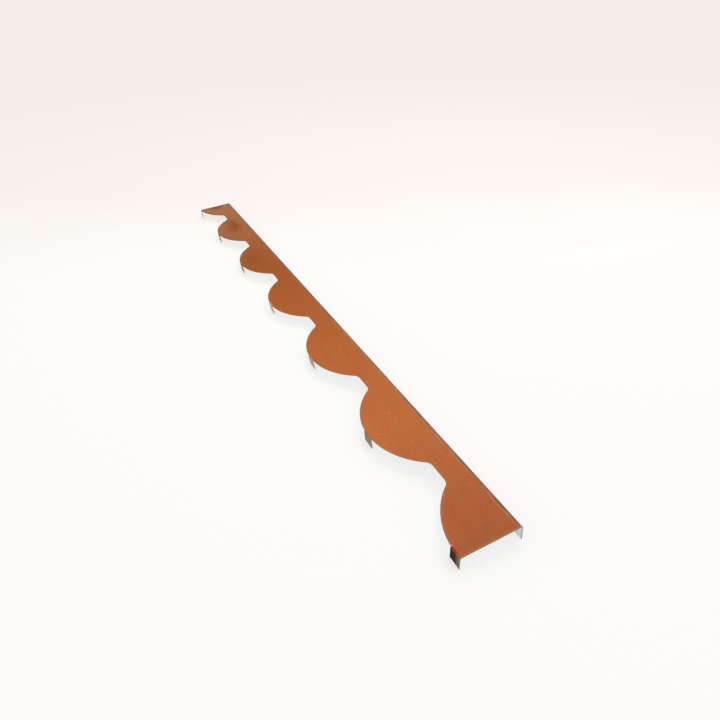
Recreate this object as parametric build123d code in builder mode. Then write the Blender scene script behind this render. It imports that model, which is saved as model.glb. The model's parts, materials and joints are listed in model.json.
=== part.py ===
from build123d import *

import os
from math import atan2, cos, sin

# Scalloped roof edge flashing: one length of painted sheet steel that closes the open waves of a tile
# profile roof sheet. A flat face carries a row of round lobes, one for each wave. The straight edge is
# folded down as a long flange, and a short tab is folded down at the crown of each lobe. The tabs are
# shorter than the flange, so the face slopes down to them where the flashing lies on a level floor.

# Driving dimensions, in millimetres
wave_pitch = 183.33  # crown to crown, as on a sheet that covers 1100 with six waves
wave_count = 6
near_overhang = 6.5  # sheet past the first crown
far_overhang = 1.0  # sheet past the last crown
sheet_thickness = 0.5
bend_radius = 2.0  # inside radius of every fold
neck_width = 32.5  # flange face to the bottom of the valleys
lobe_height = 39.5  # bottom of the valleys to the crowns
lobe_radius = 91.0
root_radius = 10.0  # where a lobe runs out into the valley
flange_depth = 20.0
tab_width = 18.5
tab_depth = 16.0
relief_width = 0.6  # slit beside each tab, so that the fold doesn't tear the lobe
relief_depth = 0.5  # how far the slit runs past the start of the fold

# Sizes and places that follow, in the sheet's own frame: x along the length, y from the flange to the
# lobes, and z out of the face, whose painted side is at z 0
length = wave_count * wave_pitch + near_overhang + far_overhang
depth = neck_width + lobe_height
near_end = -length / 2
far_end = length / 2
straight_edge = -depth / 2
valley_line = straight_edge + neck_width
crown_line = depth / 2
outer_bend = bend_radius + sheet_thickness
flange_fold = straight_edge + outer_bend  # where the flat face ends and the bend begins
tab_fold = crown_line - outer_bend
crowns = [near_end + near_overhang + k * wave_pitch for k in range(wave_count + 1)]

# The fillets of two neighbouring lobes may meet at the middle of the valley, and no further
half_chord_squared = lobe_radius**2 - (lobe_radius - lobe_height) ** 2
root_limit = ((wave_pitch / 2) ** 2 - half_chord_squared) / (2 * lobe_height)
root_fillet = min(root_radius, 0.95 * root_limit)

# How it lies: on an edge of the flange and on an edge of each tab, which gives the face its slope
slope = atan2(flange_depth - tab_depth, depth - sheet_thickness)
feet = [(y, -flange_depth) for y in (straight_edge, straight_edge + sheet_thickness)]
feet += [(y, -tab_depth) for y in (crown_line - sheet_thickness, crown_line)]


def across_floor(y, z):
    """How far across the floor a point of the section lies, before the part is centred."""
    return y * cos(slope) + z * sin(slope)


# On each side either the foot of the leg or the round of its fold reaches furthest out
flange_round = across_floor(flange_fold, -outer_bend) - outer_bend
tab_round = across_floor(tab_fold, -outer_bend) + outer_bend
flange_side = min(across_floor(straight_edge, -flange_depth), flange_round)
tab_side = max(across_floor(crown_line, -tab_depth), tab_round)
shift = -(flange_side + tab_side) / 2
lift = max(y * sin(slope) - z * cos(slope) for y, z in feet)
face = Plane(origin=(0, shift, lift), x_dir=(1, 0, 0), z_dir=(0, sin(slope), cos(slope)))


def section_plane(start):
    """The plane across the sheet at start along its length. Its own x and y are the sheet's y and z."""
    return Plane(origin=face.origin + Vector(start, 0, 0), x_dir=face.y_dir, z_dir=face.x_dir)


def face_outline():
    """The flat face, from the flange's fold to the scalloped edge and the tabs' folds."""
    touch = 1e-3
    from_below = (Align.CENTER, Align.MIN)
    with BuildSketch() as outline:
        with Locations(*[(x, crown_line - lobe_radius) for x in crowns]):
            Circle(lobe_radius)
        with Locations((0, valley_line)):
            Rectangle(2 * length, depth, align=from_below, mode=Mode.INTERSECT)
        with Locations((0, flange_fold)):
            Rectangle(length, valley_line - flange_fold, align=from_below)
        roots = outline.vertices().filter_by_position(Axis.Y, valley_line - touch, valley_line + touch)
        roots = roots.filter_by_position(Axis.X, near_end, far_end, inclusive=(False, False))
        fillet(roots, root_fillet)
        # the fold and its two slits take each crown away, and a stub is left to carry the tab
        with Locations(*[(x, tab_fold - relief_depth) for x in crowns]):
            Rectangle(tab_width + 2 * relief_width, depth, align=from_below, mode=Mode.SUBTRACT)
            Rectangle(tab_width, relief_depth, align=from_below)
        with Locations((0, straight_edge)):
            Rectangle(length, depth, align=from_below, mode=Mode.INTERSECT)
    return outline.sketch


def folded_leg(edge, towards_face, leg_depth):
    """Section of a turned down edge: a quarter bend with a straight leg below it. edge is where its outer
    side lies, and towards_face is +1 or -1, the way to the face from there."""
    bend_centre = edge + towards_face * outer_bend
    inner_side = edge + towards_face * sheet_thickness
    with BuildSketch() as section:
        with BuildLine():
            outer = Line((edge, -leg_depth), (edge, -outer_bend))
            over = TangentArc(outer @ 1, (bend_centre, 0), tangent=outer % 1)
            end = Line(over @ 1, (bend_centre, -sheet_thickness))
            inner = Line((inner_side, -leg_depth), (inner_side, -outer_bend))
            TangentArc(inner @ 1, end @ 1, tangent=inner % 1)
            Line(inner @ 0, outer @ 0)
        make_face()
    return section.sketch


with BuildPart() as edge_flashing:
    with BuildSketch(face.offset(-sheet_thickness)):
        add(face_outline())
    extrude(amount=sheet_thickness)

    with BuildSketch(section_plane(near_end)):
        add(folded_leg(straight_edge, 1, flange_depth))
    extrude(amount=length)

    for x in crowns:
        tab_start = max(x - tab_width / 2, near_end)
        tab_end = min(x + tab_width / 2, far_end)
        with BuildSketch(section_plane(tab_start)):
            add(folded_leg(crown_line, -1, tab_depth))
        extrude(amount=tab_end - tab_start)

edge_flashing.part.label = "edge_flashing"
os.makedirs("parts", exist_ok=True)
export_step(edge_flashing.part, "parts/edge_flashing.step")
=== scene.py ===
"""Scalloped roof edge flashing: one length of painted sheet steel, cut with a row of round lobes, with a
flange folded along its straight edge and a tab folded at the crown of each lobe. Sizes are in metres."""

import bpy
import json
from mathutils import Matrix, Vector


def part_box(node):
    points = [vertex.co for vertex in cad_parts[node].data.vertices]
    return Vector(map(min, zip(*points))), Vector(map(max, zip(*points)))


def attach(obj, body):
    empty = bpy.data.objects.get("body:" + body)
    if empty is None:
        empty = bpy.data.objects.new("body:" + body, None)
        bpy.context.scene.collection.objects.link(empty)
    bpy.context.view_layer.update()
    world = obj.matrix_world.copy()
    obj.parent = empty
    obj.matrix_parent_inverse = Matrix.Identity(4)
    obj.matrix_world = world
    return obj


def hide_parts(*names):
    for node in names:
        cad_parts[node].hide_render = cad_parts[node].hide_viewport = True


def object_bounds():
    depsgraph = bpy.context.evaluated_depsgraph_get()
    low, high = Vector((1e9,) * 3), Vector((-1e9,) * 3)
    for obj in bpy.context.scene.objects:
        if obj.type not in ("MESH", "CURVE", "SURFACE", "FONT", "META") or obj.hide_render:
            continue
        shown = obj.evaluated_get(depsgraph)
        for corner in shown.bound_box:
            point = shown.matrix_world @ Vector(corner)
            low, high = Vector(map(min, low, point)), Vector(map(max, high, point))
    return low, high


bl_info = {
    "name": "Scalloped roof edge flashing",
    "version": (1, 0, 0),
    "blender": (4, 5, 0),
    "location": "3D View > Sidebar > Flashing",
    "description": "Makes a scalloped roof edge flashing in painted sheet steel, and the stage it lies on",
    "category": "Add Mesh",
}

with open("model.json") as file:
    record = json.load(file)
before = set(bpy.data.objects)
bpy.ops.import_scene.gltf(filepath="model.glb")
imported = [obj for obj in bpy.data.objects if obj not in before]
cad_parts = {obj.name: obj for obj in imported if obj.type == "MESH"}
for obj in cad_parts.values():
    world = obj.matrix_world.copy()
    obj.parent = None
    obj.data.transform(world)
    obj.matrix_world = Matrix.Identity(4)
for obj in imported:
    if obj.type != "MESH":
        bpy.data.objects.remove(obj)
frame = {"record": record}

import json
from math import asin, ceil, cos, radians, sin, sqrt

import bmesh
import bpy
from bpy.props import FloatProperty, FloatVectorProperty, PointerProperty
from mathutils import Euler, Matrix, Vector, kdtree, noise

NODE = "edge_flashing"

CAD_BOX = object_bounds()
LOW, HIGH = CAD_BOX
MOUNTS = {mount["name"]: mount for mount in frame["record"]["mounts"]}
TAB_COUNT = sum(name.startswith("tab_") for name in MOUNTS)
QUARTER_TURN = radians(90)
SHARP_ANGLE = radians(35)  # faces that meet at more than this keep a sharp edge
ON_LINE = 1e-6  # two places nearer than this are the same
UP = (0, 0, 1)

NOISE_RANGE = (0.3, 0.7)  # nearly all of a noise texture's values
PATCHY_RANGE = (0.35, 0.65)  # a little narrower, for patches with a plainer outline
NOISE_MIDDLE = 0.5

# Broad marks on the painted face: the tone, the middle along and across, the reach each way and the strength
BROAD_MARKS = (
    ("dark_patch", (0.396, -0.004), (0.062, 0.024), 0.85),
    ("dark_patch", (0.205, 0.008), (0.080, 0.030), 0.45),
    ("grime", (0.543, 0.000), (0.019, 0.027), 0.6),
    ("olive_tab", (-0.419, -0.0234), (0.020, 0.009), 0.15),
    ("grime", (-0.539, -0.003), (0.008, 0.008), 0.12),
)
# Flecks on it: the middle along and across, the reach and the strength
FLECKS = (
    ((-0.3443, -0.0032), 0.0014, 0.9),
    ((-0.3589, -0.0028), 0.0012, 0.6),
    ((-0.3722, 0.0213), 0.0013, 0.7),
    ((-0.4002, -0.0026), 0.0012, 0.6),
    ((-0.4842, 0.0085), 0.0015, 0.95),
    ((-0.4427, -0.0068), 0.0014, 0.7),
    ((-0.3379, 0.0092), 0.0010, 0.5),
    ((-0.2757, -0.0062), 0.0018, 0.6),
    ((-0.2155, -0.0155), 0.0013, 0.4),
    ((-0.1771, 0.0208), 0.0013, 0.4),
    ((-0.1198, -0.0022), 0.0013, 0.4),
)
# The tabs' tones, from the near end: painted shade, darkest on the first tab, and a painted reflection of the
# pale floor, palest on the fourth
TAB_TONES = ("shaded_tab", "olive_tab", "pale_tab", "palest_reflected_tab", "dim_reflected_tab", "brown_tab", "last_tab")


def from_srgb(red, green, blue):
    """A colour as a paint chart gives it, 0 to 255, in the linear values that the shader takes."""
    parts = [value / 255 for value in (red, green, blue)]
    return tuple(part / 12.92 if part <= 0.04045 else ((part + 0.055) / 1.055) ** 2.4 for part in parts)


def length(name, description, default):
    """A size in metres."""
    return FloatProperty(name=name, description=description, default=default, unit="LENGTH", precision=4)


def colour(name, description, *default):
    """A colour, whose default is given as on a paint chart."""
    return FloatVectorProperty(
        name=name, description=description, default=from_srgb(*default), subtype="COLOR", min=0, max=1
    )


class SheetSizes(bpy.types.PropertyGroup):
    """The flashing's own sizes. The pitch, the length and the slope come from the frame."""

    thickness: length("Sheet thickness", "Thickness of the coated steel", 0.0005)
    bend_radius: length("Bend radius", "Inside radius of every fold", 0.002)
    neck_width: length("Neck width", "Flange to the bottom of the valleys", 0.0325)
    lobe_height: length("Lobe height", "Bottom of the valleys to the crowns", 0.0395)
    lobe_radius: length("Lobe radius", "Radius of every lobe", 0.091)
    root_radius: length("Root radius", "Where a lobe runs out into the valley", 0.01)
    flange_depth: length("Flange depth", "Painted face to the flange's edge", 0.02)
    tab_width: length("Tab width", "Width of a tab along the length", 0.0185)
    tab_depth: length("Tab depth", "Painted face to a tab's edge", 0.016)
    relief_width: length("Slit width", "Slit beside each tab", 0.0006)
    relief_depth: length("Slit depth", "How far a slit runs past the fold", 0.0005)
    waviness: length("Waviness", "How far the face bulges between the folds", 0.0003)
    edge_band: length("Edge band", "Width of the extra strip of faces beside a sheared edge", 0.0016)
    # This reach also sets how far the painted shade beside the edges goes in.
    wear_and_shade_reach: length("Wear reach", "How far the wear beside a sheared edge reaches in", 0.0045)
    tab_lean: FloatVectorProperty(
        name="Tab lean", description="How far each tab is folded past square, from the near end",
        size=TAB_COUNT, unit="ROTATION",
        default=[radians(angle) for angle in (-3.0, 0.5, 5.0, 3.0, 3.5, 2.0, -1.0)],
    )


class FinishColours(bpy.types.PropertyGroup):
    """Colours of the coats, the marks, the painted shade, highlight and reflection, and the bare steel."""

    paint: colour("Terracotta", "The coat of the upper side at its brightest", 197, 111, 62)
    paint_near: colour("Near end", "The coat at the near end, a little redder", 176, 96, 56)
    # The two tones below are a painted reflection: darker past the middle, greyed by the pale backdrop at the
    # far end.
    paint_deep: colour("Deep terracotta", "The coat past the middle", 165, 87, 34)
    paint_far_reflection: colour("Greyed far end", "The coat at the far end, under a film of dust", 168, 111, 75)
    # A painted highlight beside the long fold, where it starts to turn.
    highlight_band: colour("Crease", "The coat where the fold has stretched it", 206, 140, 108)
    # Painted shade on the round of the long fold.
    fold_line: colour("Fold line", "Soil on the round of the long fold", 116, 88, 68)
    # A darker, browner tone for patches on the far lobes.
    dark_patch: colour("Stain", "Rusty stains on the far lobes", 144, 73, 14)
    grime: colour("Grime", "Brown grime at the ends", 92, 48, 30)
    fleck: colour("Fleck", "Dust and fine chips", 226, 170, 128)
    # The tab tones below are painted shade, darkest on the first tab, and a painted reflection of the pale
    # floor, palest on the fourth.
    shaded_tab: colour("Soiled tab", "The first tab's coat under its soil", 40, 19, 2)
    olive_tab: colour("Olive tab", "Soil on the second tab and the first one's near side", 138, 134, 109)
    pale_tab: colour("Pale tab", "The third tab's coat, chalked and dusty", 173, 167, 152)
    palest_reflected_tab: colour("Chalky tab", "The fourth tab's coat, the most chalked", 198, 188, 176)
    dim_reflected_tab: colour("Dusty tab", "The fifth tab's coat under its dust", 148, 140, 119)
    brown_tab: colour("Brown tab", "The sixth tab's coat under its soil", 138, 124, 96)
    last_tab: colour("Last tab", "The last tab's coat under its dust", 166, 153, 130)
    back_coat: colour("Back coat", "Thin coat of the underside", 217, 232, 232)
    back_soil: colour("Soil below", "Soil on the underside", 140, 132, 120)
    steel: colour("Cut steel", "Bare edge of the sheet, a little rusty", 146, 92, 60)
    # The two tones below are painted shade beside the sheared edges, the first over the coat's wearing, the
    # second in a wider band along the rims.
    worn_and_shaded_edge: colour("Edge soil", "The worn and soiled coat beside the sheared edges", 162, 126, 100)
    rim_shade_tone: colour("Rim grime", "Grime along the rims, heavier towards the far end", 112, 94, 72)


class StageSettings(bpy.types.PropertyGroup):
    """The floor, the lights and the camera."""

    floor_near: colour("Floor", "The floor round the flashing", 255, 254, 253)
    floor_far: colour("Backdrop", "The far floor and what is behind it", 252, 246, 241)
    floor_depth: FloatProperty(
        name="Shadow depth", description="Share of the floor's light that shadows take away",
        default=0.36, min=0, max=1, subtype="FACTOR",
    )
    surround: FloatProperty(name="Surround", description="Strength of the even light all round", default=0.78)
    lamp_power: FloatProperty(
        name="Softbox", description="Power of the softbox over the flange side", default=9.0, unit="POWER"
    )
    focal_length: FloatProperty(
        name="Focal length", description="In millimetres, on a 36 mm sensor", default=27.13, unit="CAMERA"
    )
    camera_place: FloatVectorProperty(
        name="Camera place", description="Where the picture is taken from", subtype="XYZ", unit="LENGTH",
        default=(-0.7964, 0.234, 0.4494),
    )
    camera_turn: FloatVectorProperty(
        name="Camera turn", description="Which way the camera looks", subtype="EULER",
        default=[radians(angle) for angle in (55.449, 2.464, -115.737)],
    )


def crowns():
    """Where the lobes' crowns lie along the length. The end tabs are trimmed, so the pitch is counted
    from the full ones."""
    second = MOUNTS["tab_2_face"]["pos_m"][0]
    pitch = MOUNTS["tab_3_face"]["pos_m"][0] - second
    return [second + (k - 1) * pitch for k in range(TAB_COUNT)]


def sheet_to_frame(sizes):
    """From the sheet's own frame, with the flange at y 0 and the painted face at z 0, to where it lies."""
    mount = MOUNTS["closure_face"]
    normal = Vector(mount["axis"]).normalized()
    along = Vector((1, 0, 0))
    across = normal.cross(along)
    half_depth = (sizes.neck_width + sizes.lobe_height) / 2
    origin = Vector((0, *mount["pos_m"][1:])) - across * half_depth
    turn = Matrix((along, across, normal)).transposed().to_4x4()
    return Matrix.Translation(origin) @ turn


def sweep(bm, geom, centre, axis, angle, steps):
    """Spins vertices or edges round an axis, leaves the surface they sweep, and gives the last ones."""
    made = bmesh.ops.spin(
        bm, geom=geom, cent=centre, axis=axis, angle=angle, steps=steps, use_duplicate=False
    )
    return made["geom_last"]


def run(bm, geom, way, steps):
    """Drags vertices or edges straight along way, in equal steps, and gives the last ones."""
    made = bmesh.ops.spin(
        bm, geom=geom, cent=(0, 0, 0), axis=UP, dvec=Vector(way) / steps, angle=0, steps=steps,
        use_duplicate=False,
    )
    return made["geom_last"]


def scalloped_edge(bm, sizes, near, far):
    """The wire of the scalloped edge, walked from the near end: over each lobe, round its root, along the
    valley and round the next root."""
    step = 0.0024  # longest chord on a lobe, wider than the edge band
    root_step = 0.0009
    centre_y = sizes.neck_width + sizes.lobe_height - sizes.lobe_radius
    fillet_y = sizes.neck_width + sizes.root_radius
    reach = sizes.lobe_radius + sizes.root_radius
    fillet_x = sqrt(reach**2 - (fillet_y - centre_y) ** 2)
    side = asin(fillet_x / reach)  # a lobe runs this far each way from its crown
    tab = asin(sizes.tab_width / 2 / sizes.lobe_radius)
    slit = asin((sizes.tab_width / 2 + sizes.relief_width) / sizes.lobe_radius)
    peaks = crowns()
    end = None
    for k, x in enumerate(peaks):
        first = -side if k else asin((near - x) / sizes.lobe_radius)
        last = side if x < peaks[-1] else asin((far - x) / sizes.lobe_radius)
        if end is None:
            start = (x + sizes.lobe_radius * sin(first), centre_y + sizes.lobe_radius * cos(first), 0)
            end = [bm.verts.new(start)]
        # the lobe is walked in stretches, so that a vertex falls on each side of the slits
        stops = [first] + [a for a in (-slit, -tab, tab, slit) if first < a < last] + [last]
        for a, b in zip(stops, stops[1:]):
            steps = ceil(sizes.lobe_radius * (b - a) / step)
            end = sweep(bm, end, (x, centre_y, 0), UP, a - b, steps)
        if x < peaks[-1]:
            steps = ceil(sizes.root_radius * side / root_step)
            valley = peaks[k + 1] - x - 2 * fillet_x
            end = sweep(bm, end, (x + fillet_x, fillet_y, 0), UP, side, steps)
            end = run(bm, end, (valley, 0, 0), ceil(valley / step))
            end = sweep(bm, end, (peaks[k + 1] - fillet_x, fillet_y, 0), UP, side, steps)


def put_in_order(bm):
    """Sorts vertices by their place, and edges and faces by their vertices. The operators leave them in an
    order that changes from run to run."""
    weights = Vector((1000, 1, 0.01))  # x counts most, then y, then z
    bm.verts.sort(key=lambda vert: weights.dot(vert.co))
    bm.verts.index_update()
    count = len(bm.verts)

    def rank(element):
        lowest = sorted(vert.index for vert in element.verts)[:3]
        return sum(index / count**place for place, index in enumerate(lowest))

    bm.edges.sort(key=rank)
    bm.faces.sort(key=rank)


def flat_face(bm, fold):
    """Draws the scalloped edge down to the flange's fold, in rows of equal depth."""
    rows = 12
    front = bm.edges[:]
    for left in range(rows, 0, -1):
        made = bmesh.ops.extrude_edge_only(bm, edges=front)["geom"]
        moved = [item for item in made if isinstance(item, bmesh.types.BMVert)]
        front = [item for item in made if isinstance(item, bmesh.types.BMEdge)]
        nearer = (1, (left - 1) / left, 1)
        bmesh.ops.scale(bm, verts=moved, vec=nearer, space=Matrix.Translation((0, -fold, 0)))


def cut_tab(bm, sizes, crown, fold):
    """Takes the crown away beyond the tab's fold, with a slit on each side that runs a little past it."""
    half = sizes.tab_width / 2
    outer = half + sizes.relief_width
    slit_floor = fold - sizes.relief_depth
    for y in (slit_floor, fold):
        faces = [face for face in bm.faces if abs(face.calc_center_median().x - crown) < outer]
        edges = {edge for face in faces for edge in face.edges}
        verts = {vert for face in faces for vert in face.verts}
        cut = bmesh.ops.bisect_plane(
            bm, geom=[*verts, *edges, *faces], dist=ON_LINE, plane_co=(0, y, 0), plane_no=(0, 1, 0)
        )["geom_cut"]
        for item in cut:
            if isinstance(item, bmesh.types.BMVert):
                item.co.y = y  # on the line to the last digit
    waste = []
    for face in bm.faces:
        centre = face.calc_center_median()
        away = abs(centre.x - crown)
        if (away < half and centre.y > fold) or (half < away < outer and centre.y > slit_floor):
            waste.append(face)
    bmesh.ops.delete(bm, geom=waste, context="FACES")


def edges_on(bm, line, middle, reach):
    """The edges that lie on y = line, no further than reach from x = middle."""
    return [
        edge for edge in bm.edges
        if all(abs(v.co.y - line) < ON_LINE and abs(v.co.x - middle) < reach + ON_LINE for v in edge.verts)
    ]


def fold_down(bm, sizes, edges, line, turn, depth, rows):
    """Folds edges on the line y = line down by turn, about the face's far side, and runs them on as a leg."""
    rounds = 8
    outer_bend = sizes.bend_radius + sizes.thickness
    lean = abs(turn) - QUARTER_TURN
    side = -1 if turn > 0 else 1
    last = sweep(bm, edges, (0, line, -outer_bend), (1, 0, 0), turn, rounds)
    leg = (depth - outer_bend - outer_bend * sin(lean)) / cos(lean)
    run(bm, last, (0, -side * sin(lean) * leg, -cos(lean) * leg), rows)


def bulge(sizes, fold, tab_fold, peaks):
    """Gives how far the face bulges at a point: nothing at the folds, and uneven between them."""
    long_wave = 0.11
    short_wave = 0.045
    long_slice, short_slice = 3.7, 9.1  # the slices of the noise that they take
    short_share = 0.35
    sag = 0.3  # share of the waviness that the whole face sinks by
    held = 0.012  # the face stays flat this near a tab
    fade = 0.02  # and the bulge grows over this distance

    def at(point):
        from_flange = min(1, max(0, (point.y - fold) / fade))
        from_tab = min(Vector((point.x - x, point.y - tab_fold)).length for x in peaks)
        free = min(1, max(0, (from_tab - held) / fade))
        wave = noise.noise(Vector((point.x / long_wave, point.y / long_wave, long_slice)))
        ripple = noise.noise(Vector((point.x / short_wave, point.y / short_wave, short_slice)))
        return sizes.waviness * from_flange**2 * free**2 * (wave + short_share * ripple - sag)

    return at


def turn_outwards(bm):
    """Turns the faces so that the flat one looks up, and the others the same way as it."""
    bmesh.ops.recalc_face_normals(bm, faces=bm.faces[:])
    flat = max(bm.faces, key=lambda face: abs(face.normal.z) * face.calc_area())
    if flat.normal.z < 0:
        bmesh.ops.reverse_faces(bm, faces=bm.faces[:])


def mark_edges(bm, sizes, fold, tab_fold, peaks):
    """Writes the attribute edge: 1 on the sheared edges, less further in, and 0 past the reach of the edge's
    wearing and painted shade. The slits beside the tabs are too narrow for either."""
    slit = sizes.tab_width / 2 + sizes.relief_width / 2
    rim = []
    for vert in bm.verts:
        beside_slit = any(abs(abs(vert.co.x - x) - slit) < sizes.relief_width for x in peaks)
        if vert.is_boundary and not (beside_slit and abs(vert.co.y - tab_fold) < fold):
            rim.append(vert.co)
    nearest = kdtree.KDTree(len(rim))
    for index, place in enumerate(rim):
        nearest.insert(place, index)
    nearest.balance()
    edge_layer = bm.verts.layers.float.new("edge")
    for vert in bm.verts:
        _, _, distance = nearest.find(vert.co)
        vert[edge_layer] = max(0, 1 - distance / sizes.wear_and_shade_reach)


def build_sheet(sizes):
    """The painted side of the whole sheet, as an open surface in the frame. The attribute tab is 1 on the
    tabs, and edge is 1 on the sheared edges."""
    tab_rows = 4
    flange_rows = 5
    low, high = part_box(NODE)
    fold = sizes.bend_radius + sizes.thickness
    tab_fold = sizes.neck_width + sizes.lobe_height - fold
    peaks = crowns()
    bm = bmesh.new()
    scalloped_edge(bm, sizes, low.x, high.x)
    flat_face(bm, fold)
    for x in peaks:
        cut_tab(bm, sizes, x, tab_fold)
    put_in_order(bm)
    at = bulge(sizes, fold, tab_fold, peaks)
    for vert in bm.verts:
        vert.co.z += at(vert.co)
    tab_layer = bm.verts.layers.float.new("tab")
    for x, lean in zip(peaks, sizes.tab_lean):
        crest = edges_on(bm, tab_fold, x, sizes.tab_width / 2)
        before = set(bm.verts)
        fold_down(bm, sizes, crest, tab_fold, -(QUARTER_TURN + lean), sizes.tab_depth, tab_rows)
        for vert in set(bm.verts) - before:
            vert[tab_layer] = 1
    straight = edges_on(bm, fold, 0, high.x)
    fold_down(bm, sizes, straight, fold, QUARTER_TURN, sizes.flange_depth, flange_rows)
    put_in_order(bm)
    turn_outwards(bm)
    bmesh.ops.inset_region(
        bm, faces=bm.faces[:], thickness=sizes.edge_band, use_boundary=True, use_even_offset=True
    )
    put_in_order(bm)
    mark_edges(bm, sizes, fold, tab_fold, peaks)
    for face in bm.faces:
        face.smooth = True
    bmesh.ops.transform(bm, matrix=sheet_to_frame(sizes), verts=bm.verts[:])
    for vert in bm.verts:
        vert.co.z = max(vert.co.z, 0)  # a leaning tab's foot stays on the floor
    mesh = bpy.data.meshes.new("flashing_sheet")
    bm.to_mesh(mesh)
    bm.free()
    return mesh


class FLASHING_OT_sheet(bpy.types.Operator):
    """Make the painted sheet, with its lobes, flange and tabs"""

    bl_idname = "flashing.sheet"
    bl_label = "Flashing sheet"

    def execute(self, context):
        scene = context.scene
        sizes = scene.flashing_sizes
        colours = scene.flashing_colours
        mesh = build_sheet(sizes)
        piece = bpy.data.objects.new("flashing_sheet", mesh)
        scene.collection.objects.link(piece)
        for material in (painted_side(colours), back_side(colours), cut_edge(colours)):
            mesh.materials.append(material)
        shell = piece.modifiers.new("thickness", "SOLIDIFY")
        shell.thickness = sizes.thickness
        shell.offset = -1  # all of it behind the painted side
        shell.use_even_offset = True
        shell.material_offset = 1  # the back coat, counted from the painted side
        shell.material_offset_rim = 2  # the sheared edge
        applied = bpy.data.meshes.new_from_object(piece.evaluated_get(context.evaluated_depsgraph_get()))
        piece.modifiers.clear()
        piece.data = applied
        applied.set_sharp_from_angle(angle=SHARP_ANGLE)
        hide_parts(NODE)
        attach(piece, "root")
        return {"FINISHED"}


def add(tree, kind, links=None, **values):
    """A node with its settings. links gives what each of its inputs takes: a socket or a plain value."""
    made = tree.nodes.new(kind)
    for name, value in values.items():
        setattr(made, name, value)
    for name, source in (links or {}).items():
        if isinstance(source, bpy.types.NodeSocket):
            tree.links.new(source, made.inputs[name])
        else:
            made.inputs[name].default_value = source
    return made


def calc(tree, operation, *terms):
    """The result of a Math node on sockets or numbers."""
    return add(tree, "ShaderNodeMath", dict(enumerate(terms)), operation=operation).outputs[0]


def vector_calc(tree, operation, *terms):
    """The result of a Vector Math node: a number for a length or a dot product, else a vector."""
    made = add(tree, "ShaderNodeVectorMath", dict(enumerate(terms)), operation=operation)
    return made.outputs["Value" if operation in ("LENGTH", "DOT_PRODUCT") else "Vector"]


def spread(tree, value, low, high, to_low=0.0, to_high=1.0, smooth=False):
    """A value carried over from the range low to high to the range to_low to to_high, and held past its
    ends."""
    made = add(
        tree, "ShaderNodeMapRange",
        {"Value": value, "From Min": low, "From Max": high, "To Min": to_low, "To Max": to_high},
        interpolation_type="SMOOTHSTEP" if smooth else "LINEAR",
    )
    return made.outputs["Result"]


def vary(tree, value, least=0.0, most=1.0):
    """A noise's value carried over to the range least to most."""
    return spread(tree, value, *NOISE_RANGE, least, most)


def place_on(tree):
    """Where a point lies on the piece: its place as one vector, then its x, y and z."""
    place = add(tree, "ShaderNodeTexCoord").outputs["Object"]
    return place, *add(tree, "ShaderNodeSeparateXYZ", {"Vector": place}).outputs


def cloud(tree, size, detail=3.0, stretch=(1, 1, 1)):
    """Noise on the piece. size is how large its lumps are, and stretch draws them out."""
    scale = [1 / (size * part) for part in stretch]
    laid = add(tree, "ShaderNodeMapping", {"Vector": place_on(tree)[0], "Scale": scale})
    made = add(tree, "ShaderNodeTexNoise", {"Vector": laid.outputs["Vector"], "Scale": 1.0, "Detail": detail})
    return made.outputs["Fac"]


def mix(tree, factor, first, second, blend="MIX"):
    """One colour over another. factor, first and second are sockets or values."""
    made = add(tree, "ShaderNodeMix", data_type="RGBA", blend_type=blend)
    factor_in, first_in, second_in, colour_out = 0, 6, 7, 2
    for index, source in ((factor_in, factor), (first_in, first), (second_in, second)):
        if isinstance(source, bpy.types.NodeSocket):
            tree.links.new(source, made.inputs[index])
        else:
            made.inputs[index].default_value = source if index == factor_in else (*source, 1)
    return made.outputs[colour_out]


def laid_over(tree, tone, shade, mask, strength):
    """A shade over a tone, where the mask shows it and as far as its strength goes."""
    return mix(tree, calc(tree, "MULTIPLY", mask, strength), tone, shade)


def tinted(tree, tone, tint):
    """A tone made lighter, darker or another hue by a tint."""
    return mix(tree, 1.0, tone, tint, "MULTIPLY")


def new_group(maker, inputs, outputs):
    """An empty node group under its maker's name. inputs gives each socket's default: a number, or three."""
    tree = bpy.data.node_groups.new(maker.__name__, "ShaderNodeTree")
    for socket, value in inputs.items():
        kind = "NodeSocketFloat" if isinstance(value, float) else "NodeSocketVector"
        tree.interface.new_socket(name=socket, in_out="INPUT", socket_type=kind).default_value = value
    for socket in outputs:
        tree.interface.new_socket(name=socket, in_out="OUTPUT", socket_type="NodeSocketFloat")
    return tree, add(tree, "NodeGroupInput").outputs, add(tree, "NodeGroupOutput").inputs


def placed(tree, maker, **values):
    """A shared group's outputs, placed in a material with values of its own. It is made on first use."""
    group = bpy.data.node_groups.get(maker.__name__) or maker()
    made = add(tree, "ShaderNodeGroup", node_tree=group)
    for name, value in values.items():
        made.inputs[name].default_value = value
    return made.outputs


def coating_grain():
    """Fine grain of a coil coating, with streaks along the sheet: a mottle for the colour and a height for
    the bump."""
    streak_scale = (0.02, 1.0, 1.0)  # fifty times as long as they are wide
    tree, given, out = new_group(coating_grain, {"Scale": 900.0, "Streaks": 60.0}, ("Mottle", "Height"))
    place = place_on(tree)[0]
    grain = add(tree, "ShaderNodeTexNoise", {"Vector": place, "Scale": given["Scale"], "Detail": 3.0})
    drawn_out = add(tree, "ShaderNodeMapping", {"Vector": place, "Scale": streak_scale}).outputs["Vector"]
    streaks = add(
        tree, "ShaderNodeTexNoise", {"Vector": drawn_out, "Scale": given["Streaks"], "Detail": 4.0}
    )
    both = calc(tree, "ADD", grain.outputs["Fac"], streaks.outputs["Fac"])
    tree.links.new(calc(tree, "MULTIPLY", both, 0.5), out["Mottle"])
    tree.links.new(grain.outputs["Fac"], out["Height"])
    return tree


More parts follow.
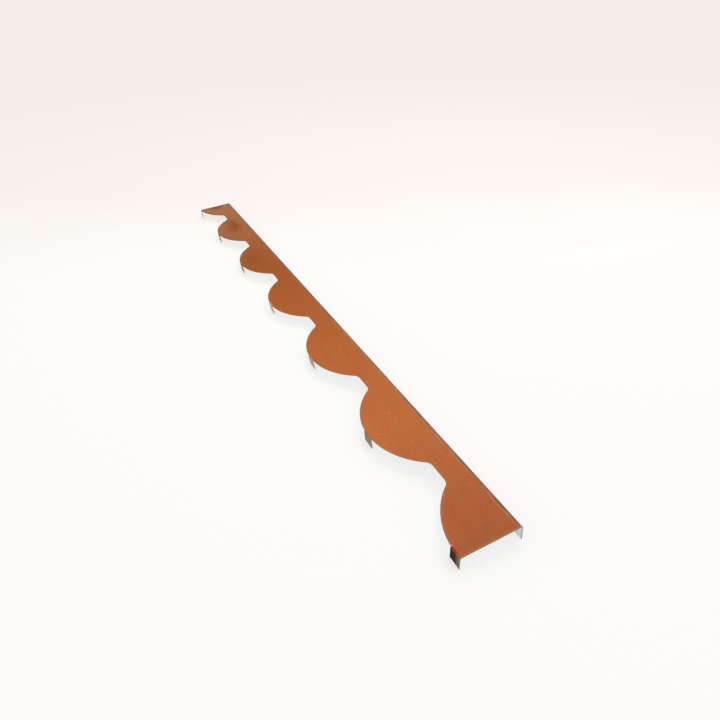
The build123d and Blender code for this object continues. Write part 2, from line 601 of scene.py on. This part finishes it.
def edge_wear_and_shade():
    """The coat's wearing beside a sheared edge, and the painted shade there, from 1 on the edge to 0 past
    its reach, uneven, and a wider band for painted shade along the rims."""
    falloff = 2.0
    band_full = 0.4  # the band is full where the attribute edge is about this or more
    tree, given, out = new_group(edge_wear_and_shade, {"Breakup": 0.5}, ("Mask", "Band"))
    edge = add(tree, "ShaderNodeAttribute", attribute_name="edge").outputs["Fac"]
    lumps = vary(tree, cloud(tree, size=0.004, detail=4.0), -1.0, 1.0)
    uneven = calc(tree, "MULTIPLY_ADD", lumps, given["Breakup"], 1.0)
    worn_and_shaded = calc(tree, "MULTIPLY", calc(tree, "POWER", edge, falloff), uneven)
    tree.links.new(spread(tree, worn_and_shaded, 0.0, 1.0), out["Mask"])
    tree.links.new(spread(tree, calc(tree, "MULTIPLY", edge, uneven), 0.0, band_full), out["Band"])
    return tree


def dust():
    """Sparse specks of dust, and a thin uneven film of it."""
    empty_share = 0.62  # of the cells have no speck
    soft_rim = 0.02  # of a cell
    film_range = (0.45, 0.8)  # the noise's values over which the film thickens
    tree, given, out = new_group(dust, {"Cell": 0.014, "Speck": 0.045}, ("Specks", "Film"))
    scale = calc(tree, "DIVIDE", 1.0, given["Cell"])
    cells = add(tree, "ShaderNodeTexVoronoi", {"Vector": place_on(tree)[0], "Scale": scale})
    chosen = add(tree, "ShaderNodeSeparateColor", {"Color": cells.outputs["Color"]})
    size = calc(tree, "MULTIPLY", chosen.outputs["Red"], given["Speck"])
    inside = calc(tree, "SUBTRACT", size, cells.outputs["Distance"])
    few = calc(tree, "GREATER_THAN", chosen.outputs["Green"], empty_share)
    speck = calc(tree, "MULTIPLY", spread(tree, inside, 0.0, soft_rim), few)
    tree.links.new(speck, out["Specks"])
    tree.links.new(spread(tree, cloud(tree, size=0.036, detail=5.0), *film_range), out["Film"])
    return tree


def soft_mark():
    """A mark on the sheet: 1 at its middle, 0 past its reach, with a ragged outline."""
    defaults = {"Middle": (0, 0, 0), "Reach": (0.01, 0.01, 1), "Ragged": 0.3}
    tree, given, out = new_group(soft_mark, defaults, ("Mask",))
    away = vector_calc(tree, "SUBTRACT", place_on(tree)[0], given["Middle"])
    share = vector_calc(tree, "DIVIDE", away, given["Reach"])
    distance = vector_calc(tree, "LENGTH", share)
    lumps = calc(tree, "SUBTRACT", cloud(tree, size=0.012), NOISE_MIDDLE)
    uneven = calc(tree, "ADD", distance, calc(tree, "MULTIPLY", lumps, given["Ragged"]))
    tree.links.new(spread(tree, uneven, 1.0, 0.0, smooth=True), out["Mask"])
    return tree


def new_material(name):
    """A material with one Principled shader. Gives the material, its tree and the shader."""
    material = bpy.data.materials.new(name)
    material.use_nodes = True
    tree = material.node_tree
    return material, tree, tree.nodes["Principled BSDF"]


def finish(tree, shader, tone, grain, roughness, relief):
    """The colour, the uneven roughness and the fine relief of a coat. roughness is its lowest and highest."""
    mottle_range = (0.2, 0.8)
    relief_depth = 0.0002
    tree.links.new(tone, shader.inputs["Base Color"])
    uneven = spread(tree, grain["Mottle"], *mottle_range, *roughness)
    tree.links.new(uneven, shader.inputs["Roughness"])
    bump = add(
        tree, "ShaderNodeBump", {"Height": grain["Height"], "Strength": relief, "Distance": relief_depth}
    )
    tree.links.new(bump.outputs["Normal"], shader.inputs["Normal"])


def tones_along(tree, stops, interpolation="LINEAR"):
    """A colour that changes along the sheet. stops gives shares of the length and the tones there."""
    share = spread(tree, place_on(tree)[1], LOW[0], HIGH[0])
    made = add(tree, "ShaderNodeValToRGB", {"Fac": share})
    ramp = made.color_ramp
    ramp.interpolation = interpolation
    for position, _ in stops[1:-1]:
        ramp.elements.new(position)
    for element, (position, shade) in zip(ramp.elements, stops):
        element.position = position
        element.color = (*shade, 1)
    return made.outputs["Color"]


def coat_tone(tree, colours):
    """The coat's tone from the near end to the far end: red, then bright, then deep, then greyed. The deep
    tone and the greyed far end are a painted reflection, darker past the middle and greyed by the pale
    backdrop.
    """
    stops = (
        (0.0, colours.paint_near),
        (0.17, colours.paint),
        (0.62, colours.paint_deep),
        (1.0, colours.paint_far_reflection),
    )
    return tones_along(tree, stops)


def uneven_coat(tree, tone, grain):
    """Patches that lean to red or to ochre, and the grain's mottle."""
    reddish = (1.05, 0.95, 0.94)
    ochre = (0.96, 1.05, 1.02)
    patch = vary(tree, cloud(tree, size=0.012, detail=2.0))
    tone = tinted(tree, tone, mix(tree, patch, reddish, ochre))
    mottle = vary(tree, grain["Mottle"], least=0.93, most=1.07)
    speckle = vary(tree, cloud(tree, size=0.0035, detail=2.0), least=0.95, most=1.05)
    return tinted(tree, tone, calc(tree, "MULTIPLY", mottle, speckle))


def fold_shade(tree, tone, colours):
    """Ragged painted shade on the round of the long fold, where it turns away, uneven along it."""
    raggedness = 0.0012
    heights = (HIGH[2] - 0.0046, HIGH[2] - 0.0008)  # it thickens from the first to the second
    inner_rim = (0.0070, 0.0026)  # in from the flange: none past the first, all of it by the second
    shade_strength_range = (0.25, 0.9)
    _, _, across, up = place_on(tree)
    from_flange = calc(tree, "SUBTRACT", across, LOW[1])
    ragged = vary(tree, cloud(tree, size=0.009, detail=4.0, stretch=(2, 1, 1)), -raggedness, raggedness)
    on_top = spread(tree, calc(tree, "ADD", up, ragged), *heights, smooth=True)
    inner_side = spread(tree, calc(tree, "ADD", from_flange, ragged), *inner_rim, smooth=True)
    line = calc(tree, "MULTIPLY", inner_side, on_top)
    uneven_shade = spread(
        tree, cloud(tree, size=0.018, detail=5.0, stretch=(3, 1, 1)), *PATCHY_RANGE, *shade_strength_range
    )
    return laid_over(tree, tone, colours.fold_line, line, uneven_shade)


def fold_highlight(tree, tone, colours):
    """A thin pale broken painted highlight beside the long fold, where it starts to turn, faint past the
    middle.
    """
    outer_rim = (0.0036, 0.0046)  # in from the flange, over which it comes in
    inner_rim = (0.0078, 0.0052)  # and on its other side
    gaps = (0.46, 0.62)  # the noise's values, from a gap to the whole crease
    gap_strength, whole_strength = 0.15, 0.55
    fades_along = (-0.25, 0.15)  # along the length, over which it turns faint
    faint = 0.3
    _, along, across, _ = place_on(tree)
    from_flange = calc(tree, "SUBTRACT", across, LOW[1])
    highlight_band = calc(
        tree, "MULTIPLY", spread(tree, from_flange, *outer_rim, smooth=True),
        spread(tree, from_flange, *inner_rim, smooth=True),
    )
    broken = spread(
        tree, cloud(tree, size=0.004, stretch=(4, 1, 1)), *gaps, gap_strength, whole_strength
    )
    strength = calc(tree, "MULTIPLY", broken, spread(tree, along, *fades_along, 1.0, faint))
    return laid_over(tree, tone, colours.highlight_band, highlight_band, strength)


def marks(tree, tone, colours):
    """Darker, browner patches on the far lobes, and pale flecks where dust or a chip catches the light."""
    broad_mark_raggedness = 1.2
    fleck_raggedness = 0.2
    flecks = [("fleck", middle, (reach, reach), strength) for middle, reach, strength in FLECKS]
    for ragged, rows in ((broad_mark_raggedness, BROAD_MARKS), (fleck_raggedness, flecks)):
        for shade, middle, reach, strength in rows:
            mark = placed(tree, soft_mark, Middle=(*middle, HIGH[2]), Reach=(*reach, 1), Ragged=ragged)
            tone = laid_over(tree, tone, getattr(colours, shade), mark["Mask"], strength)
    return tone


def tab_shade_and_reflection(tree, tone, colours):
    """Painted shade and a painted reflection of the pale floor on the tabs below their folds, with a tone for
    each tab and an olive near side on the first, also a painted reflection.
    """
    near, far = LOW[0], HIGH[0]
    # The olive on the first tab's near side is a painted reflection of the floor.
    olive_side = (near + 0.008, near + 0.001)  # along the first tab, over which it turns olive
    olive_most = 0.85
    fold_heights = (0.0158, 0.0132)  # over which the painted shade and reflection thicken, from the fold down
    painted_tone_at_fold = 0.35
    thinnest_painted_tab_tone = 0.9
    _, along, _, up = place_on(tree)
    tab = add(tree, "ShaderNodeAttribute", attribute_name="tab").outputs["Fac"]
    peaks = crowns()
    starts = [near] + [(a + b) / 2 for a, b in zip(peaks, peaks[1:])]
    stops = [((x - near) / (far - near), getattr(colours, shade)) for x, shade in zip(starts, TAB_TONES)]
    near_side = spread(tree, along, *olive_side, 0.0, olive_most)
    soil_and_painted_light = mix(tree, near_side, tones_along(tree, stops, "CONSTANT"), colours.olive_tab)
    cover = spread(tree, cloud(tree, size=0.006, stretch=(1, 1, 2)), *PATCHY_RANGE, thinnest_painted_tab_tone, 1.0)
    below_fold = spread(tree, up, *fold_heights, painted_tone_at_fold, 1.0)
    return laid_over(tree, tone, soil_and_painted_light, calc(tree, "MULTIPLY", tab, cover), below_fold)


def painted_side(colours):
    """Matt terracotta coil coating, a little uneven, with darker patches, grime and dust, painted shade along
    its edges and the long fold, a painted highlight beside that fold, painted shade and reflection on the
    tabs, and a painted reflection that greys it towards the far end."""
    rim_shade_along = (-0.45, 0.4)  # along the length, over which the painted shade on the rims grows
    rim_shade_most = 0.38
    material, tree, shader = new_material("terracotta_coat")
    grain = placed(tree, coating_grain, Scale=1400.0)
    tone = uneven_coat(tree, coat_tone(tree, colours), grain)
    tone = marks(tree, tone, colours)
    # Painted shade on the round of the long fold.
    tone = fold_shade(tree, tone, colours)
    # A painted highlight beside the long fold.
    tone = fold_highlight(tree, tone, colours)
    specks = placed(tree, dust, Cell=0.014, Speck=0.07)["Specks"]
    tone = laid_over(tree, tone, colours.fleck, specks, strength=0.4)
    # Painted shade beside the sheared edges, over the coat's wearing, and a wider band of painted shade along
    # the rims.
    wear_and_shade_mask = placed(tree, edge_wear_and_shade, Breakup=0.35)
    tone = laid_over(tree, tone, colours.worn_and_shaded_edge, wear_and_shade_mask["Mask"], strength=0.95)
    heavier = spread(tree, place_on(tree)[1], *rim_shade_along, 0.0, rim_shade_most)
    tone = laid_over(tree, tone, colours.rim_shade_tone, wear_and_shade_mask["Band"], strength=heavier)
    # Painted shade and a painted reflection of the floor on the tabs.
    tone = tab_shade_and_reflection(tree, tone, colours)
    finish(tree, shader, tone, grain, roughness=(0.55, 0.72), relief=0.12)
    shader.inputs["Specular IOR Level"].default_value = 0.05
    return material


def back_side(colours):
    """Thin pale back coat, with a faint grain and some soil."""
    material, tree, shader = new_material("back_coat")
    grain = placed(tree, coating_grain, Scale=700.0)
    tone = tinted(tree, colours.back_coat, vary(tree, grain["Mottle"], least=0.92, most=1.06))
    soil_and_painted_light = placed(tree, dust, Cell=0.02)
    tone = laid_over(tree, tone, colours.back_soil, soil_and_painted_light["Film"], strength=0.15)
    tone = laid_over(tree, tone, colours.back_soil, soil_and_painted_light["Specks"], strength=0.4)
    wear_and_shade_mask = placed(tree, edge_wear_and_shade, Breakup=0.8)["Mask"]
    tone = laid_over(tree, tone, colours.steel, wear_and_shade_mask, strength=0.3)
    finish(tree, shader, tone, grain, roughness=(0.45, 0.62), relief=0.1)
    shader.inputs["Specular IOR Level"].default_value = 0.35
    return material


def cut_edge(colours):
    """Sheared edge: dull bare steel with the coats smeared over it."""
    material, tree, shader = new_material("sheared_edge")
    grain = placed(tree, coating_grain, Scale=2600.0, Streaks=400.0)
    tone = tinted(tree, colours.steel, vary(tree, grain["Mottle"], least=0.7, most=1.2))
    finish(tree, shader, tone, grain, roughness=(0.42, 0.6), relief=0.2)
    shader.inputs["Metallic"].default_value = 0.2
    return material


def studio_floor(stage):
    """A pale floor, lit from within, so that it stays white and shadows on it are faint. It turns a little
    warmer towards the far side of the room, and far off on every side."""
    half_width = 30.0
    far_side = (0.9, -0.43, 0)  # the way there from the flashing
    turns_that_way = (0.1, 0.75)  # metres, over which the tone turns
    turns_all_round = (1.5, 6.0)
    patchiness = 0.1  # metres, by which the turn is uneven
    lit_share = 0.9  # of the floor's own light falls on the flashing
    mesh = bpy.data.meshes.new("floor")
    bm = bmesh.new()
    bmesh.ops.create_grid(bm, x_segments=1, y_segments=1, size=half_width)
    bm.to_mesh(mesh)
    bm.free()
    material, tree, shader = new_material("studio_floor")
    place = place_on(tree)[0]
    past = vector_calc(tree, "DOT_PRODUCT", place, far_side)
    patches = vary(tree, cloud(tree, size=0.6, detail=4.0), -patchiness, patchiness)
    that_way = spread(tree, calc(tree, "ADD", past, patches), *turns_that_way, smooth=True)
    all_round = spread(tree, vector_calc(tree, "LENGTH", place), *turns_all_round, smooth=True)
    tone = mix(tree, calc(tree, "MAXIMUM", that_way, all_round), stage.floor_near, stage.floor_far)
    tree.links.new(tone, shader.inputs["Emission Color"])
    tree.links.new(tinted(tree, tone, [stage.floor_depth] * 3), shader.inputs["Base Color"])
    seen = add(tree, "ShaderNodeLightPath").outputs["Is Camera Ray"]
    glow = 1 - stage.floor_depth
    tree.links.new(spread(tree, seen, 0.0, 1.0, lit_share * glow, glow), shader.inputs["Emission Strength"])
    shader.inputs["Roughness"].default_value = 0.9
    shader.inputs["Specular IOR Level"].default_value = 0.0
    mesh.materials.append(material)
    return bpy.data.objects.new("floor", mesh)


def studio_world(stage):
    """Even light all round. The camera sees it in the far floor's tone, so no horizon shows."""
    light_tone = (1, 0.99, 0.98)
    world = bpy.data.worlds.new("studio")
    world.use_nodes = True
    tree = world.node_tree
    background = tree.nodes["Background"]
    seen = add(tree, "ShaderNodeLightPath").outputs["Is Camera Ray"]
    tree.links.new(mix(tree, seen, light_tone, stage.floor_far), background.inputs["Color"])
    as_floor = 1 - stage.floor_depth * (1 - stage.surround)
    tree.links.new(spread(tree, seen, 0.0, 1.0, stage.surround, as_floor), background.inputs["Strength"])
    return world


def softbox(stage):
    """A large soft lamp over the flange side, turned to the middle of the flashing."""
    lamp = bpy.data.lights.new("softbox", "AREA")
    lamp.shape = "RECTANGLE"
    lamp.size = 1.6
    lamp.size_y = 1.2
    lamp.energy = stage.lamp_power
    made = bpy.data.objects.new("softbox", lamp)
    made.location = (0.3, -0.8, 1.7)
    made.rotation_euler = (-made.location).to_track_quat("-Z", "Y").to_euler()
    return made


def photo_camera(stage):
    """The camera, at the height, distance and angle that the flashing is seen from."""
    lens = bpy.data.cameras.new("camera")
    lens.sensor_width = 36.0
    lens.lens = stage.focal_length
    lens.clip_start = 0.01
    lens.clip_end = 100.0
    camera = bpy.data.objects.new("camera", lens)
    camera.location = stage.camera_place
    camera.rotation_euler = Euler(stage.camera_turn)
    return camera


class FLASHING_OT_stage(bpy.types.Operator):
    """Make the floor, the lights and the camera"""

    bl_idname = "flashing.stage"
    bl_label = "Stage"

    def execute(self, context):
        scene = context.scene
        stage = scene.flashing_stage
        floor = studio_floor(stage)
        camera = photo_camera(stage)
        for made in (floor, softbox(stage), camera):
            scene.collection.objects.link(made)
        scene.world = studio_world(stage)
        scene.camera = camera
        scene.view_settings.view_transform = "Standard"
        return {"FINISHED"}


class FLASHING_PT_panel(bpy.types.Panel):
    """The flashing's sizes, colours and steps"""

    bl_idname = "FLASHING_PT_panel"
    bl_label = "Roof edge flashing"
    bl_space_type = "VIEW_3D"
    bl_region_type = "UI"
    bl_category = "Flashing"

    def draw(self, context):
        layout = self.layout
        for name, group in GROUPS.items():
            box = layout.box()
            for setting in group.__annotations__:
                box.prop(getattr(context.scene, name), setting)
        for step in STEPS:
            layout.operator(step.bl_idname)


STEPS = (FLASHING_OT_sheet, FLASHING_OT_stage)
GROUPS = {"flashing_sizes": SheetSizes, "flashing_colours": FinishColours, "flashing_stage": StageSettings}


def register():
    for cls in (*GROUPS.values(), *STEPS, FLASHING_PT_panel):
        bpy.utils.register_class(cls)
    for name, group in GROUPS.items():
        setattr(bpy.types.Scene, name, PointerProperty(type=group))


def unregister():
    for name in GROUPS:
        delattr(bpy.types.Scene, name)
    for cls in (FLASHING_PT_panel, *STEPS, *GROUPS.values()):
        bpy.utils.unregister_class(cls)


def main():
    register()
    bpy.ops.flashing.sheet()
    bpy.ops.flashing.stage()


if __name__ == "__main__":
    main()
